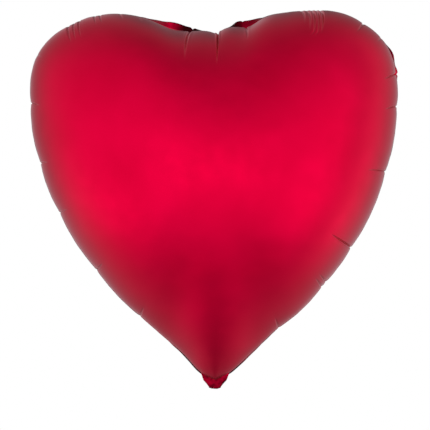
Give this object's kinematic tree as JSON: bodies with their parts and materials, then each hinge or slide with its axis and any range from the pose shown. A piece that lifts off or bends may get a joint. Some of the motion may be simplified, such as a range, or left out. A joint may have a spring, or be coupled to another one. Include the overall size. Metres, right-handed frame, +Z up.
{
  "type": "heart-shaped foil balloon",
  "caption": "Inflated heart balloon of satin red foil sheets sealed round the edge, with a folded-back filling neck and a flat one-way valve inside.",
  "frame": {"origin": "centre of the filling neck, in the seam's plane, where a ribbon is tied", "axes": "+Z up from the neck to the lobes, the front sheet faces -Y, +X across to the right lobe"},
  "size_m": [0.75, 0.3392, 0.7685],
  "materials": {
    "front_foil": "satin red metallised film",
    "back_foil": "satin red metallised film",
    "sealed_margin": "glossy red metallised film, heat sealed",
    "valve_film": "clear polyethylene film"
  },
  "bodies": {
    "balloon": {"front_panel": "front_foil", "back_panel": "back_foil", "seam_margin": "sealed_margin", "neck_front_ply": "front_foil", "neck_back_ply": "back_foil", "valve_front_sleeve": "valve_film", "valve_back_sleeve": "valve_film"},
    "tail": {"tail_front_ply": "front_foil", "tail_back_ply": "back_foil", "tail_side_seams": "sealed_margin"},
    "valve_front": {"valve_front_flap": "valve_film"},
    "valve_back": {"valve_back_flap": "valve_film"}
  },
  "joints": [
    {"name": "tail_fold", "type": "hinge", "parent": "balloon", "child": "tail", "pos_m": [0, 0.0019, -0.0065], "axis": [-1, 0, 0], "range_deg": [0, 140]},
    {"name": "valve_front_part", "type": "hinge", "parent": "balloon", "child": "valve_front", "pos_m": [0, -0.0003, 0.034], "axis": [1, 0, 0], "range_deg": [0, 6], "stiffness_Nm_per_rad": 0.002},
    {"name": "valve_back_part", "type": "hinge", "parent": "balloon", "child": "valve_back", "pos_m": [0, 0.0003, 0.034], "axis": [1, 0, 0], "range_deg": [-6, 0], "stiffness_Nm_per_rad": 0.002}
  ],
  "couplings": [
    {"joint": "valve_back_part", "follows": "valve_front_part", "ratio": -1}
  ]
}
